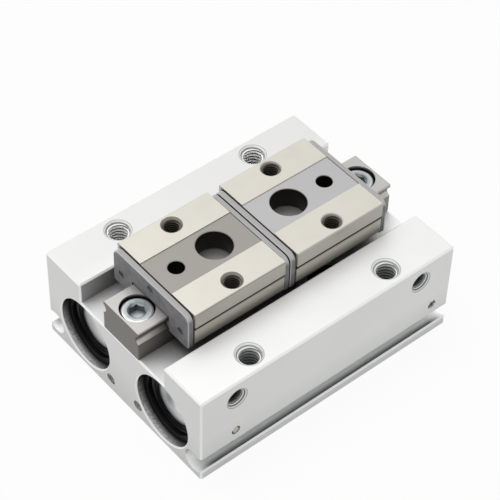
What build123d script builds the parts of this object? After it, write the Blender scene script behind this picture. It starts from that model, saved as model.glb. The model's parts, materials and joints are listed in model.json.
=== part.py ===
from build123d import *
import math
import os

# Air gripper with two fingers that slide apart on one guide rail. Under the rail two pistons
# lie side by side in the housing. Each carries a rack, and a pinion between the racks keeps
# the fingers in step. All sizes are in millimetres. X is the fingers' travel, Z is up, and
# the origin is the middle of the mounting face.

# Drive
stroke = 6.0
tooth_module = 0.5
pinion_teeth = 20
pressure_angle = 20.0
backlash = 0.06
root_clearance = 0.125
rack_reach = 3.9
pinion_face = 4.0
hub_radius = 3.0
axle_radius = 1.5
axle_seat = 2.6
pocket_clearance = 0.25
pocket_gap = 0.15
running_fit = 0.05
close_fit = 0.02

# Cylinders and housing walls
bore_radius = 6.0
rack_inset = 0.72
bottom_wall = 1.78
side_wall = 4.12
roof = 1.22
body_length = 53.4
wall_height = 4.2
edge_break = 0.3
chamfer_angle = 90

# Cap seats in the ends of the bores
seat_step = 0.64
ring_recess = 1.6
ring_thickness = 0.8
ring_groove_depth = 0.21
ring_width = 1.25
ring_shift = 0.25
ring_gap_angle = 38.0
lug_radius = 1.05
lug_turn = 9.0
lug_hole_radius = 0.42
cap_seal_section = 1.5
cap_seal_chamfer = 0.5
cap_flange = 1.1
cap_dish = 0.35
cap_rim = 0.8
damper_thickness = 0.8
damper_inset = 0.6
end_play = 0.2
mouth_chamfer = 0.22

# Pistons
piston_nose_length = 1.0
piston_nose_inset = 1.0
piston_land = 0.5
seal_width = 1.4
seal_depth = 1.0
magnet_radius = 1.5
magnet_length = 1.8
magnet_place = 5.0
magnet_pocket = 3.6

# Guide rail
rail_width = 9.0
rail_height = 6.2
rail_end_gap = 0.06
ball_radius = 1.0
ball_drop = 1.6
ball_stand_out = 0.4
raceway_clearance = 0.06
ball_gap = 0.02
rail_screw_setback = 3.3
rail_edge_break = 0.15

# Socket head screws that hold the rail
screw_radius = 1.5
screw_length = 8.0
head_radius = 2.75
head_height = 3.0
head_depth = 0.5
head_rounding = 0.45
head_clearance = 0.2
hex_across_flats = 2.5
hex_depth = 1.6
hex_mouth_radius = 1.6
shank_clearance = 0.2
thread_clearance = 0.04

# Fingers
block_length = 18.28
block_width = 20.0
block_bridge = 4.05
block_grip = 2.7
rail_clearance = 0.25
channel_clearance = 0.9
block_chamfer = 0.2
strip_width = 8.12
strip_recess = 0.15
side_line_drop = 2.95
side_line_height = 0.45
side_line_depth = 0.4
skirt_inset = 0.12
skirt_chamfer = 0.4
plate_thickness = 0.95
wiper_thickness = 0.22
finger_gap = 0.22
plate_corner = 1.5
plate_foot_chamfer = 0.35
plate_foot_drop = 0.78
plate_rounding = 0.25
plate_inset = 0.28
wiper_inset = 0.35

# Holes in the fingers
finger_thread_radius = 1.5
finger_thread_chamfer = 0.35
finger_thread_depth = 4.0
finger_thread_edge = 2.3
spigot_radius = 3.1
spigot_setback = 2.66
dowel_radius = 1.4
dowel_setback = 5.08
dowel_depth = 3.35
bore_edge_break = 0.1

# Small screws that hold the end plates
plate_screw_radius = 0.45
plate_head_radius = 0.7
plate_head_height = 0.4
plate_screw_bite = 1.2
plate_screw_edge = 2.35
plate_screw_rise = 0.75
plate_screw_drop = 1.8
plate_screw_recess = 0.12

# Pins that join each piston to its finger
joint_pin_radius = 1.1
joint_pin_setback = 2.77
joint_pin_seat = 2.6
joint_pin_foot = 0.2
slot_clearance = 0.2

# Threaded holes on top of the housing walls
mount_spacing = 28.86
mount_edge = 3.4
mount_thread_radius = 2.0
mount_depth = 7.0
mount_chamfer = 0.35

# Air ports on the near side
port_spacing = 39.0
port_height = 15.4
port_radius = 1.5
port_depth = 4.5
port_chamfer = 0.5
passage_radius = 0.75
drilling_radius = 0.45
near_passage = -3.9
far_passage = 3.35
passage_height = 2.85
drilling_setback = 0.15
crossing_rise = 2.0
crossing_gap = 1.0
gallery_overrun = 0.2
end_plug_radius = 1.05
end_plug_length = 1.6
plug_edge_break = 0.14
plug_inset = 0.1
side_plug_radius = 0.84
side_plug_length = 1.8
side_plug_depth = 2.2
side_plug_height = 7.5
left_side_plug = 19.6
right_side_plug = 22.9

# Sensor grooves along both sides
groove_radius = 2.15
groove_setback = 1.85
groove_height = 3.45
groove_lip = 2.0
lip_chamfer = 0.3
groove_brow = 5.3

# Holes in the mounting face
foot_thread_spacing = 30.0
foot_thread_depth = 6.0
foot_dowel_spacing = 42.0
foot_dowel_radius = 1.5
foot_dowel_depth = 3.0

# Places that follow from the sizes above
pitch_radius = tooth_module * pinion_teeth / 2
tip_radius = pitch_radius + tooth_module
root_radius = pitch_radius - tooth_module - root_clearance
tooth_pitch = math.pi * tooth_module
bore_offset = pitch_radius + bore_radius - rack_inset
bore_height = bottom_wall + bore_radius
body_width = 2 * (bore_offset + bore_radius + side_wall)
channel_floor = bore_height + bore_radius + roof
wall_top = channel_floor + wall_height
channel_width = block_width + 2 * channel_clearance
body_end = body_length / 2
body_side = body_width / 2

seat_radius = bore_radius + seat_step
ring_radius = seat_radius + ring_groove_depth - close_fit
ring_face = body_end - ring_recess
cap_face = ring_face - ring_thickness
cap_shoulder = cap_face - cap_seal_section
chamber_end = cap_shoulder - cap_flange
damper_face = chamber_end - damper_thickness

piston_radius = bore_radius - running_fit
piston_length = 2 * (damper_face - end_play) - stroke
seal_setback = piston_nose_length + piston_land

rail_top = channel_floor + rail_height
rail_length = body_length - 2 * rail_end_gap
rail_screw_place = rail_length / 2 - rail_screw_setback
ball_height = rail_top - ball_drop
ball_offset = rail_width / 2 + ball_stand_out
ball_pitch = 2 * ball_radius + ball_gap
balls_in_row = math.floor(block_length / ball_pitch)
head_top = rail_top - head_depth
head_seat = head_top - head_height

channel_roof = rail_top + rail_clearance
block_top = channel_roof + block_bridge
block_foot = rail_top - block_grip
strip_top = block_top - strip_recess
inner_plate = finger_gap / 2
inner_wiper = inner_plate + plate_thickness
block_inner = inner_wiper + wiper_thickness
block_middle = block_inner + block_length / 2
block_outer = block_inner + block_length
outer_wiper = block_outer + wiper_thickness
finger_end = outer_wiper + plate_thickness
finger_thread_spacing = block_width - 2 * finger_thread_edge
plate_screw_side = block_width / 2 - plate_screw_edge

pinion_bottom = bore_height - pinion_face / 2
pinion_top = bore_height + pinion_face / 2
pocket_floor = pinion_bottom - pocket_gap
hub_top = channel_floor - pocket_gap
axle_bottom = pocket_floor - axle_seat
axle_top = channel_floor - close_fit

joint_pin_place = block_inner + joint_pin_setback
raceway_side = ball_offset + ball_radius + raceway_clearance
joint_pin_side = (raceway_side + block_width / 2 - skirt_inset) / 2
joint_pin_bottom = bore_height + joint_pin_foot
joint_pin_top = block_foot + joint_pin_seat

mount_side = body_side - mount_edge
passage_end = chamber_end - drilling_radius - drilling_setback
gallery_end = passage_end + drilling_radius + gallery_overrun
groove_offset = body_side - groove_setback

os.makedirs("parts", exist_ok=True)


def save(part, name):
    """Label a finished piece and write it."""
    part.label = name
    export_step(part, f"parts/{name}.step")


def cross_section(side, start, end):
    """Plane across the fingers' travel, at the low-X end of a stretch on one side."""
    return Plane.YZ.offset(min(side * start, side * end))


def rail_outline(grow):
    """Rail cross-section, grown by a clearance, with a ball groove in each side."""
    with BuildSketch() as outline:
        with Locations((0, channel_floor + rail_height / 2)):
            Rectangle(rail_width + 2 * grow, rail_height + 2 * grow)
        with Locations((-ball_offset, ball_height), (ball_offset, ball_height)):
            Circle(ball_radius + raceway_clearance - grow, mode=Mode.SUBTRACT)
    return outline.sketch


def body_block():
    """Housing block with the rail's channel along its top, all outer edges broken."""
    with BuildPart() as block:
        with BuildSketch(Plane.YZ.offset(-body_end)):
            with Locations((0, wall_top / 2)):
                Rectangle(body_width, wall_top)
            with Locations((0, channel_floor + wall_height / 2)):
                Rectangle(channel_width, wall_height, mode=Mode.SUBTRACT)
        extrude(amount=body_length)
        corners = block.edges().filter_by(Axis.X).filter_by_position(Axis.Z, channel_floor, channel_floor)
        chamfer([edge for edge in block.edges() if edge not in corners], edge_break)
    return block.part


def sensor_grooves():
    """Outline of the grooves along both sides: round at the bottom, with a narrower mouth."""
    with BuildSketch() as grooves:
        with Locations((-groove_offset, groove_height), (groove_offset, groove_height)):
            Circle(groove_radius)
        middle = (groove_lip + groove_brow) / 2
        with Locations((-body_side, middle), (body_side, middle)):
            Rectangle(2 * groove_setback, groove_brow - groove_lip)
        with Locations((-body_side, groove_lip), (body_side, groove_lip)):
            Rectangle(math.sqrt(2) * lip_chamfer, math.sqrt(2) * lip_chamfer, rotation=45)
    return grooves.sketch


def air_passages():
    """Drillings from each port to its chamber, and between each pair of chambers."""
    drillings = []
    for side in (-1, 1):
        gallery = near_passage if side < 0 else far_passage
        crossing = passage_end - crossing_gap * (1 + side) / 2
        crossing_height = bore_height + crossing_rise * (1 - side) / 2
        port_floor = (side * port_spacing / 2, -body_side + port_depth, port_height)
        chamber_top = (side * passage_end, -bore_offset, bore_height + bore_radius - 2 * drilling_radius)
        mouth, blind_end, left_end, right_end = (
            (x, gallery, passage_height) for x in (-body_end, gallery_end, -passage_end, crossing)
        )
        drillings += [
            (port_floor, chamber_top, drilling_radius),
            (mouth, blind_end, passage_radius),
            (left_end, (-passage_end, side * bore_offset, bore_height), drilling_radius),
            (right_end, (crossing, -side * bore_offset, crossing_height), drilling_radius),
        ]
    with BuildPart() as passages:
        for start, end, radius in drillings:
            way = Vector(*end) - Vector(*start)
            with BuildSketch(Plane(origin=start, z_dir=way)):
                Circle(radius)
            extrude(amount=way.length)
    return passages.part


def cylinder_space():
    """Room of both bores, with the seats and ring grooves of their end caps."""
    with BuildPart() as space:
        for y in (-bore_offset, bore_offset):
            with BuildSketch(Plane.YZ.offset(-body_end)):
                with Locations((y, bore_height)):
                    Circle(bore_radius)
            extrude(amount=body_length)
            for side in (-1, 1):
                for start, end, radius in (
                    (chamber_end, body_end, seat_radius),
                    (cap_face - close_fit, ring_face, seat_radius + ring_groove_depth),
                ):
                    with BuildSketch(cross_section(side, start, end)):
                        with Locations((y, bore_height)):
                            Circle(radius)
                    extrude(amount=end - start)
    return space.part


def make_housing():
    """Anodised body with two bores, the rail channel and every hole drilled in it."""
    with BuildPart() as housing:
        add(body_block())
        with BuildSketch(Plane.YZ.offset(-body_end)):
            add(sensor_grooves())
        extrude(amount=body_length, mode=Mode.SUBTRACT)
        add(cylinder_space(), mode=Mode.SUBTRACT)
        mouths = [
            edge
            for edge in housing.edges().filter_by(GeomType.CIRCLE)
            if edge.radius > bore_radius and abs(abs(edge.arc_center.X) - body_end) < close_fit
        ]
        chamfer(mouths, mouth_chamfer)

        # Pinion pocket under the rail, and the blind hole that holds its axle
        with BuildSketch(Plane.XY.offset(pocket_floor)):
            Circle(tip_radius + pocket_clearance)
        extrude(amount=channel_floor - pocket_floor, mode=Mode.SUBTRACT)
        with BuildSketch(Plane.XY.offset(axle_bottom)):
            Circle(axle_radius + close_fit)
        extrude(amount=axle_seat, mode=Mode.SUBTRACT)

        # Slots in the channel floor for the pins that drive the fingers
        slot_middle = joint_pin_place + stroke / 2
        with BuildSketch(Plane.XY.offset(bore_height)):
            with Locations((-slot_middle, joint_pin_side), (slot_middle, -joint_pin_side)):
                SlotCenterToCenter(stroke, 2 * (joint_pin_radius + slot_clearance))
        extrude(amount=channel_floor - bore_height, mode=Mode.SUBTRACT)

        # Threaded holes in the walls, and threaded and dowel holes in the mounting face
        countersink = mount_thread_radius + mount_chamfer
        with Locations((0, 0, wall_top)):
            with GridLocations(mount_spacing, 2 * mount_side, 2, 2):
                CounterSinkHole(mount_thread_radius, countersink, mount_depth, chamfer_angle)
        with Locations(-Plane.XY):
            with GridLocations(foot_thread_spacing, 0, 2, 1):
                CounterSinkHole(mount_thread_radius, countersink, foot_thread_depth, chamfer_angle)
            with GridLocations(foot_dowel_spacing, 0, 2, 1):
                Hole(foot_dowel_radius, foot_dowel_depth)
        with Locations((0, 0, channel_floor)):
            with GridLocations(2 * rail_screw_place, 0, 2, 1):
                Hole(screw_radius + thread_clearance, channel_floor - head_seat + screw_length)

        # Air ports, plugged drillings and the passages inside
        for side in (-1, 1):
            mouth = (side * port_spacing / 2, -body_side, port_height)
            with Locations(Plane(origin=mouth, z_dir=(0, -1, 0))):
                CounterSinkHole(port_radius, port_radius + port_chamfer, port_depth, chamfer_angle)
        for x in (-left_side_plug, right_side_plug):
            with Locations(Plane(origin=(x, -body_side, side_plug_height), z_dir=(0, -1, 0))):
                Hole(side_plug_radius + close_fit, side_plug_depth)
        for y in (near_passage, far_passage):
            with Locations(Plane(origin=(-body_end, y, passage_height), z_dir=(-1, 0, 0))):
                Hole(end_plug_radius + close_fit, plug_inset + end_plug_length)
        add(air_passages(), mode=Mode.SUBTRACT)
    return housing.part


def make_rail():
    """Steel guide rail with a ball groove in each side and two counterbored holes."""
    with BuildPart() as rail:
        with BuildSketch(Plane.YZ.offset(-rail_length / 2)):
            add(rail_outline(0))
        extrude(amount=rail_length)
        chamfer(rail.edges().filter_by(Axis.X).group_by(Axis.Z)[-1], rail_edge_break)
        with Locations((0, 0, rail_top)):
            with GridLocations(2 * rail_screw_place, 0, 2, 1):
                CounterBoreHole(
                    screw_radius + shank_clearance,
                    head_radius + head_clearance,
                    rail_top - head_seat,
                )
    return rail.part


def make_rail_screws():
    """Two socket head cap screws, heads below the top of the rail."""
    with BuildPart() as screws:
        for radius, foot, height in (
            (screw_radius, head_seat - screw_length, screw_length),
            (head_radius, head_seat, head_height),
        ):
            with BuildSketch(Plane.XY.offset(foot)):
                with GridLocations(2 * rail_screw_place, 0, 2, 1):
                    Circle(radius)
            extrude(amount=height)
        fillet(screws.faces().group_by(Axis.Z)[-1].edges(), head_rounding)
        with BuildSketch(Plane.XY.offset(head_top)):
            with GridLocations(2 * rail_screw_place, 0, 2, 1):
                RegularPolygon(hex_across_flats / 2, 6, major_radius=False)
        extrude(amount=-hex_depth, mode=Mode.SUBTRACT)
        hex_mouth_depth = hex_mouth_radius - hex_across_flats / 2
        with Locations((0, 0, head_top - hex_mouth_depth / 2)):
            with GridLocations(2 * rail_screw_place, 0, 2, 1):
                Cone(hex_across_flats / 2, hex_mouth_radius, hex_mouth_depth, mode=Mode.SUBTRACT)
    return screws.part


def bore_plane(x, side, y):
    """Plane square to a bore's axis, facing out of the near end, local X upwards."""
    return Plane(origin=(x, y, bore_height), x_dir=(0, 0, 1), z_dir=(side, 0, 0))


def make_cap(side, y):
    """Turned end cap: flange on the seat's shoulder, boss inside the seal, dished face."""
    boss_radius = seat_radius - cap_seal_section - running_fit
    with BuildPart() as cap:
        with BuildSketch(bore_plane(side * chamber_end, side, y)):
            Circle(seat_radius - running_fit)
        extrude(amount=cap_flange)
        with BuildSketch(bore_plane(side * chamber_end, side, y)):
            Circle(boss_radius)
        extrude(amount=cap_face - chamber_end)
        chamfer(cap.faces().sort_by(Axis.X)[0 if side < 0 else -1].edges(), mouth_chamfer)
        with BuildSketch(bore_plane(side * cap_face, side, y)):
            Circle(boss_radius - cap_rim)
        extrude(amount=-cap_dish, mode=Mode.SUBTRACT)
    return cap.part


def make_cap_seal(side, y):
    """Rubber ring round the boss of an end cap, held by the retaining ring."""
    with BuildPart() as seal:
        with BuildSketch(bore_plane(side * cap_shoulder, side, y)):
            Circle(seat_radius - running_fit)
            Circle(seat_radius - cap_seal_section, mode=Mode.SUBTRACT)
        extrude(amount=cap_seal_section - running_fit)
        chamfer(seal.faces().sort_by(Axis.X)[0 if side < 0 else -1].edges(), cap_seal_chamfer)
    return seal.part


def make_retaining_ring(side, y):
    """Internal retaining ring with a gap between two drilled lugs, gap upwards."""
    lug_place = ring_radius - lug_radius
    half_gap = ring_gap_angle / 2
    reach = 2 * ring_radius
    with BuildPart() as ring:
        with BuildSketch(bore_plane(side * cap_face, side, y)):
            Circle(ring_radius)
            with Locations((ring_shift, 0)):
                Circle(ring_radius - ring_width, mode=Mode.SUBTRACT)
            with BuildLine():
                Polyline(
                    (0, 0),
                    (reach, reach * math.tan(math.radians(half_gap))),
                    (reach, -reach * math.tan(math.radians(half_gap))),
                    close=True,
                )
            make_face(mode=Mode.SUBTRACT)
            with PolarLocations(lug_place, 1, start_angle=half_gap + lug_turn):
                Circle(lug_radius)
                Circle(lug_hole_radius, mode=Mode.SUBTRACT)
            with PolarLocations(lug_place, 1, start_angle=-half_gap - lug_turn):
                Circle(lug_radius)
                Circle(lug_hole_radius, mode=Mode.SUBTRACT)
        extrude(amount=ring_thickness)
    return ring.part


def make_damper(side, y):
    """Rubber disc on the inner face of an end cap, where the piston stops."""
    with BuildPart() as damper:
        with BuildSketch(bore_plane(side * chamber_end, -side, y)):
            Circle(bore_radius - damper_inset)
        extrude(amount=damper_thickness)
    return damper.part


def make_axle():
    """Steel roller that the pinion turns on, upright under the rail."""
    with BuildPart() as axle:
        with BuildSketch(Plane.XY.offset(axle_bottom)):
            Circle(axle_radius)
        extrude(amount=axle_top - axle_bottom)
        chamfer(axle.edges().filter_by(GeomType.CIRCLE), edge_break)
    return axle.part


def make_end_plugs():
    """Two round plugs that close the long passages at the left end."""
    with BuildPart() as plugs:
        with BuildSketch(Plane.YZ.offset(-body_end + plug_inset)):
            with Locations((near_passage, passage_height), (far_passage, passage_height)):
                Circle(end_plug_radius)
        extrude(amount=end_plug_length)
        chamfer(plugs.faces().sort_by(Axis.X)[:2].edges(), plug_edge_break)
    return plugs.part


def make_side_plugs():
    """Two round plugs in the near side of the housing."""
    with BuildPart() as plugs:
        with BuildSketch(Plane.XZ.offset(body_side - plug_inset)):
            with Locations((-left_side_plug, side_plug_height), (right_side_plug, side_plug_height)):
                Circle(side_plug_radius)
        extrude(amount=-side_plug_length)
        chamfer(plugs.faces().sort_by(Axis.Y)[:2].edges(), plug_edge_break)
    return plugs.part


def flank_point(radius):
    """Point of an involute flank at a radius, for a tooth that points along +X."""
    flank = math.radians(pressure_angle)
    slope = math.acos(pitch_radius * math.cos(flank) / radius)
    half_thickness = (tooth_pitch / 2 - backlash) / (2 * pitch_radius)
    turn = half_thickness + math.tan(flank) - flank - math.tan(slope) + slope
    return Vector(radius * math.cos(turn), radius * math.sin(turn))


def make_pinion():
    """Spur pinion with involute teeth and a hub that reaches up to the rail."""
    base_radius = pitch_radius * math.cos(math.radians(pressure_angle))
    upper = [flank_point(r) for r in (base_radius, (base_radius + tip_radius) / 2, tip_radius)]
    lower = [Vector(point.X, -point.Y) for point in upper]
    foot = root_radius - root_clearance
    with BuildSketch() as tooth:
        with BuildLine():
            ThreePointArc(*upper)
            Line(upper[2], lower[2])
            ThreePointArc(*lower)
            Polyline(lower[0], (foot, lower[0].Y), (foot, upper[0].Y), upper[0])
        make_face()
    with BuildPart() as pinion:
        with BuildSketch(Plane.XY.offset(pinion_bottom)):
            Circle(root_radius)
            with PolarLocations(0, pinion_teeth, start_angle=90):
                add(tooth.sketch)
        extrude(amount=pinion_face)
        with BuildSketch(Plane.XY.offset(pinion_top)):
            Circle(hub_radius)
        extrude(amount=hub_top - pinion_top)
        with Locations((0, 0, hub_top)):
            Hole(axle_radius + running_fit)
    return pinion.part


def rack_spaces(turn):
    """Flat and tooth spaces of one rack, seen from above, with the fingers closed."""
    slope = math.tan(math.radians(pressure_angle))
    depth = tooth_module + root_clearance
    floor_half = (tooth_pitch / 2 + backlash) / 2 - depth * slope
    open_half = floor_half + 2 * depth * slope
    first = -math.floor(rack_reach / tooth_pitch)
    last = math.floor((stroke + rack_reach) / tooth_pitch)
    phase = tooth_pitch / 2 * (pinion_teeth % 2) if turn < 0 else 0
    low = (first - 0.5) * tooth_pitch + phase
    high = (last + 0.5) * tooth_pitch + phase
    tip_line = pitch_radius - tooth_module
    with BuildSketch() as spaces:
        with Locations((turn * (low + high) / 2, turn * tip_line / 2)):
            Rectangle(high - low, tip_line)
        for number in range(first, last + 1):
            middle = number * tooth_pitch + phase
            with BuildLine():
                Polyline(
                    (turn * (middle - floor_half), turn * (pitch_radius + depth)),
                    (turn * (middle + floor_half), turn * (pitch_radius + depth)),
                    (turn * (middle + open_half), turn * (pitch_radius - depth)),
                    (turn * (middle - open_half), turn * (pitch_radius - depth)),
                    close=True,
                )
            make_face()
    return spaces.sketch


def make_piston(side):
    """Piston with a rack milled in the side that faces the pinion."""
    turn = -side
    middle = turn * stroke / 2
    axis_y = turn * bore_offset
    with BuildPart() as piston:
        with BuildSketch(Plane.YZ.offset(middle - piston_length / 2)):
            with Locations((axis_y, bore_height)):
                Circle(piston_radius)
        extrude(amount=piston_length)

        # Noses that keep the chambers open at the dampers, and grooves for the seals
        for end in (-1, 1):
            tip = Plane(origin=(middle + end * piston_length / 2, axis_y, bore_height), z_dir=(end, 0, 0))
            for setback, width, depth in (
                (0, piston_nose_length, piston_nose_inset),
                (seal_setback, seal_width, seal_depth),
            ):
                with BuildSketch(tip.offset(-setback)):
                    Circle(piston_radius)
                    Circle(piston_radius - depth, mode=Mode.SUBTRACT)
                extrude(amount=-width, mode=Mode.SUBTRACT)

        # Rack teeth
        with BuildSketch(Plane.XY.offset(bore_height - bore_radius)):
            add(rack_spaces(turn))
        extrude(amount=2 * bore_radius, mode=Mode.SUBTRACT)

        # Seat of the joint pin, from above
        with BuildSketch(Plane.XY.offset(joint_pin_bottom)):
            with Locations((side * joint_pin_place, turn * joint_pin_side)):
                Circle(joint_pin_radius + close_fit)
        extrude(amount=bore_radius, mode=Mode.SUBTRACT)

        # Pocket for the magnet, open towards the sensor groove
        pocket_mouth = (middle + turn * magnet_place, axis_y + turn * piston_radius, bore_height)
        with Locations(Plane(origin=pocket_mouth, z_dir=(0, turn, 0))):
            Hole(magnet_radius + close_fit, magnet_pocket)
    return piston.part


def make_magnet(side):
    """Disc magnet at the bottom of its pocket in the piston."""
    turn = -side
    floor = turn * (bore_offset + piston_radius - magnet_pocket)
    place = (turn * (stroke / 2 + magnet_place), floor, bore_height)
    with BuildPart() as magnet:
        with BuildSketch(Plane(origin=place, z_dir=(0, turn, 0))):
            Circle(magnet_radius)
        extrude(amount=magnet_length)
    return magnet.part


def make_piston_seal(side, end):
    """Rubber seal in the groove at one end of a piston."""
    turn = -side
    start = turn * stroke / 2 + end * (piston_length / 2 - seal_setback - close_fit)
    with BuildPart() as seal:
        with BuildSketch(Plane(origin=(start, turn * bore_offset, bore_height), z_dir=(-end, 0, 0))):
            Circle(bore_radius - close_fit)
            Circle(piston_radius - seal_depth + close_fit, mode=Mode.SUBTRACT)
        extrude(amount=seal_width - 2 * close_fit)
    return seal.part


def make_joint_pin(side):
    """Hardened pin that stands in the piston and reaches up into the finger's skirt."""
    with BuildPart() as pin:
        with BuildSketch(Plane.XY.offset(joint_pin_bottom)):
            with Locations((side * joint_pin_place, -side * joint_pin_side)):
                Circle(joint_pin_radius)
        extrude(amount=joint_pin_top - joint_pin_bottom)
    return pin.part


def block_outline():
    """Cross-section of a finger block, which straddles the rail."""
    half = block_width / 2
    inner = rail_width / 2 + rail_clearance
    line_top = block_top - side_line_drop
    line_foot = line_top - side_line_height
    with BuildSketch() as outline:
        with BuildLine():
            Polyline(
                (0, strip_top),
                (strip_width / 2, strip_top),
                (strip_width / 2, block_top),
                (half - block_chamfer, block_top),
                (half, block_top - block_chamfer),
                (half, line_top),
                (half - side_line_depth, line_top),
                (half - side_line_depth, line_foot),
                (half - skirt_inset, line_foot),
                (half - skirt_inset, block_foot + skirt_chamfer),
                (half - skirt_inset - skirt_chamfer, block_foot),
                (inner, block_foot),
                (inner, channel_roof),
                (0, channel_roof),
                close=True,
            )
        make_face()
        with Locations((ball_offset, ball_height)):
            Circle(ball_radius + raceway_clearance, mode=Mode.SUBTRACT)
        mirror(about=Plane.YZ)
    return outline.sketch


def plate_screw_places():
    """The three screws of an end plate: one beside each skirt, one in the middle."""
    return (
        (-plate_screw_side, channel_roof - plate_screw_rise),
        (plate_screw_side, channel_roof - plate_screw_rise),
        (0, block_top - plate_screw_drop),
    )


def make_block(side):
    """Steel finger block with the holes that a user's jaw is fixed to."""
    with BuildPart() as block:
        with BuildSketch(cross_section(side, block_inner, block_outer)):
            add(block_outline())
        extrude(amount=block_length)
        with Locations((side * block_middle, 0, block_top)):
            with GridLocations(0, finger_thread_spacing, 1, 2):
                CounterSinkHole(
                    finger_thread_radius,
                    finger_thread_radius + finger_thread_chamfer,
                    finger_thread_depth,
                    chamfer_angle,
                )
        for x, radius, depth in (
            (block_middle - spigot_setback, spigot_radius, strip_top - channel_roof),
            (block_middle + dowel_setback, dowel_radius, dowel_depth),
        ):
            with Locations((side * x, 0, strip_top)):
                CounterSinkHole(radius, radius + bore_edge_break, depth, chamfer_angle)
        with BuildSketch(Plane.XY.offset(block_foot)):
            with Locations((side * joint_pin_place, -side * joint_pin_side)):
                Circle(joint_pin_radius + close_fit)
        extrude(amount=joint_pin_seat + close_fit, mode=Mode.SUBTRACT)
        for face, inward in ((side * block_inner, side), (side * block_outer, -side)):
            with BuildSketch(Plane.YZ.offset(face)):
                with Locations(*plate_screw_places()):
                    Circle(plate_screw_radius + close_fit)
            extrude(amount=inward * (plate_screw_bite + close_fit), mode=Mode.SUBTRACT)
    return block.part


def plate_outline(inset):
    """Outer outline shared by the end plates and the wipers."""
    half = block_width / 2 - inset
    top = block_top - inset
    foot = block_foot - plate_foot_drop + inset
    with BuildSketch() as outline:
        with BuildLine():
            Polyline(
                (0, top),
                (0, foot),
                (half - plate_foot_chamfer, foot),
                (half, foot + plate_foot_chamfer),
                (half, top - plate_corner),
            )
            RadiusArc((half, top - plate_corner), (half - plate_corner, top), -plate_corner)
            Line((half - plate_corner, top), (0, top))
        make_face()
        mirror(about=Plane.YZ)
    return outline.sketch


def plate_openings():
    """What is cut through an end plate or a wiper: the rail's way and three screw holes."""
    with BuildSketch() as openings:
        add(rail_outline(rail_clearance))
        with Locations(*plate_screw_places()):
            Circle(plate_screw_radius + close_fit)
    return openings.sketch


def make_end_plate(side, start, outward):
    """Moulded end plate; outward is 1 on the plate that faces away from the centre."""
    end = start + plate_thickness
    face = end if outward > 0 else start
    inward = -side * outward
    with BuildPart() as plate:
        with BuildSketch(cross_section(side, start, end)):
            add(plate_outline(plate_inset))
        extrude(amount=plate_thickness)
        fillet(plate.faces().sort_by(Axis.X)[0 if inward > 0 else -1].edges(), plate_rounding)
        with BuildSketch(cross_section(side, start, end)):
            add(plate_openings())
        extrude(amount=plate_thickness, mode=Mode.SUBTRACT)
        with BuildSketch(Plane.YZ.offset(side * face)):
            with Locations(*plate_screw_places()):
                Circle(plate_head_radius + close_fit)
        extrude(amount=inward * (plate_head_height + plate_screw_recess), mode=Mode.SUBTRACT)
    return plate.part


def make_wiper(side, start):
    """Thin rubber wiper between an end plate and its block."""
    with BuildPart() as wiper:
        with BuildSketch(cross_section(side, start, start + wiper_thickness)):
            add(plate_outline(wiper_inset))
            add(plate_openings(), mode=Mode.SUBTRACT)
        extrude(amount=wiper_thickness)
    return wiper.part


def make_plate_screws(side):
    """The six small screws that hold both end plates of a finger."""
    length = plate_thickness - plate_screw_recess + wiper_thickness + plate_screw_bite
    with BuildPart() as screws:
        for face, inward in ((side * finger_end, -side), (side * inner_plate, side)):
            head_plane = Plane.YZ.offset(face + inward * plate_screw_recess)
            for radius, depth in ((plate_head_radius, plate_head_height), (plate_screw_radius, length)):
                with BuildSketch(head_plane):
                    with Locations(*plate_screw_places()):
                        Circle(radius)
                extrude(amount=inward * depth)
    return screws.part


def make_guide_balls(side):
    """Bearing balls between the rail and a finger block, one row in each side."""
    with BuildPart() as balls:
        with Locations((side * block_middle, 0, ball_height)):
            with GridLocations(ball_pitch, 2 * ball_offset, balls_in_row, 2):
                Sphere(ball_radius)
    return balls.part


save(make_housing(), "housing")
save(make_rail(), "guide_rail")
save(make_rail_screws(), "rail_screws")
save(make_axle(), "pinion_axle")
save(make_pinion(), "pinion")
save(make_end_plugs(), "end_plugs")
save(make_side_plugs(), "side_plugs")

for side, end_name in ((-1, "left"), (1, "right")):
    for y, bore_name in ((-bore_offset, "near"), (bore_offset, "far")):
        place = f"{end_name}_{bore_name}"
        save(make_cap(side, y), f"end_cap_{place}")
        save(make_cap_seal(side, y), f"cap_seal_{place}")
        save(make_retaining_ring(side, y), f"retaining_ring_{place}")
        save(make_damper(side, y), f"damper_{place}")

for side, finger in ((-1, "left"), (1, "right")):
    save(make_block(side), f"{finger}_finger_block")
    save(make_end_plate(side, inner_plate, -1), f"{finger}_inner_plate")
    save(make_end_plate(side, outer_wiper, 1), f"{finger}_outer_plate")
    save(make_wiper(side, inner_wiper), f"{finger}_inner_wiper")
    save(make_wiper(side, block_outer), f"{finger}_outer_wiper")
    save(make_plate_screws(side), f"{finger}_plate_screws")
    save(make_guide_balls(side), f"{finger}_guide_balls")
    save(make_joint_pin(side), f"{finger}_joint_pin")
    save(make_piston(side), f"{finger}_piston")
    save(make_magnet(side), f"{finger}_piston_magnet")
    save(make_piston_seal(side, -1), f"{finger}_piston_seal_left")
    save(make_piston_seal(side, 1), f"{finger}_piston_seal_right")
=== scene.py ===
import json
import math
import bpy
from mathutils import Matrix, Vector


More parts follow.
